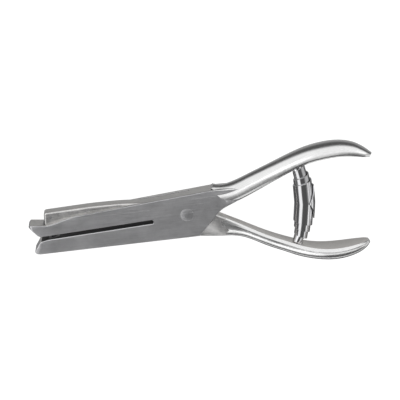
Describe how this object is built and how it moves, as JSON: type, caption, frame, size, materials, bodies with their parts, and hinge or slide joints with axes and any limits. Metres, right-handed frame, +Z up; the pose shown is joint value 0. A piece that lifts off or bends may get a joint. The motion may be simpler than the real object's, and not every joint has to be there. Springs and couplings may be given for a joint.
{
  "type": "long-throat hand punch",
  "caption": "Forged hand punch with a long narrow throat: a lever hinged in the frame drives a round punch into a die, and a volute spring reopens the curved handles.",
  "frame": {"origin": "centre of the tool's outline, on the surface that it lies on", "axes": "+X from the jaws to the handles, +Y from the lower handle to the upper one, +Z up through the tool's thickness"},
  "size_m": [0.217, 0.0766, 0.0184],
  "materials": {
    "frame_steel": "fine brushed flats, satin polished handle",
    "lever_steel": "fine brushed flats, satin polished handle",
    "tool_steel": "ground hardened tool steel",
    "peg_steel": "bright turned steel",
    "spring_steel": "bright cold rolled spring strip"
  },
  "bodies": {
    "frame_body": {"frame": "frame_steel", "pivot_pin": "frame_steel", "punch_guide": "tool_steel", "die": "tool_steel", "upper_spring_peg": "peg_steel", "return_spring": "spring_steel"},
    "lever_body": {"lever": "lever_steel", "punch_link_pin": "lever_steel", "lower_spring_peg": "peg_steel"},
    "punch_body": {"punch": "tool_steel"}
  },
  "joints": [
    {"name": "lever_hinge", "type": "hinge", "parent": "frame_body", "child": "lever_body", "pos_m": [-0.0101, 0.00702, 0.00922], "axis": [0, 0, 1], "range_deg": [0, 2.38], "stiffness_Nm_per_rad": 20, "springref_deg": -2.86, "deforming": ["return_spring"]},
    {"name": "punch_slide", "type": "slide", "parent": "frame_body", "child": "punch_body", "axis": [0, -1, 0], "range_m": [0, 0.0036]}
  ],
  "couplings": [
    {"joint": "punch_slide", "follows": "lever_hinge", "m_per_rad": 0.084}
  ]
}
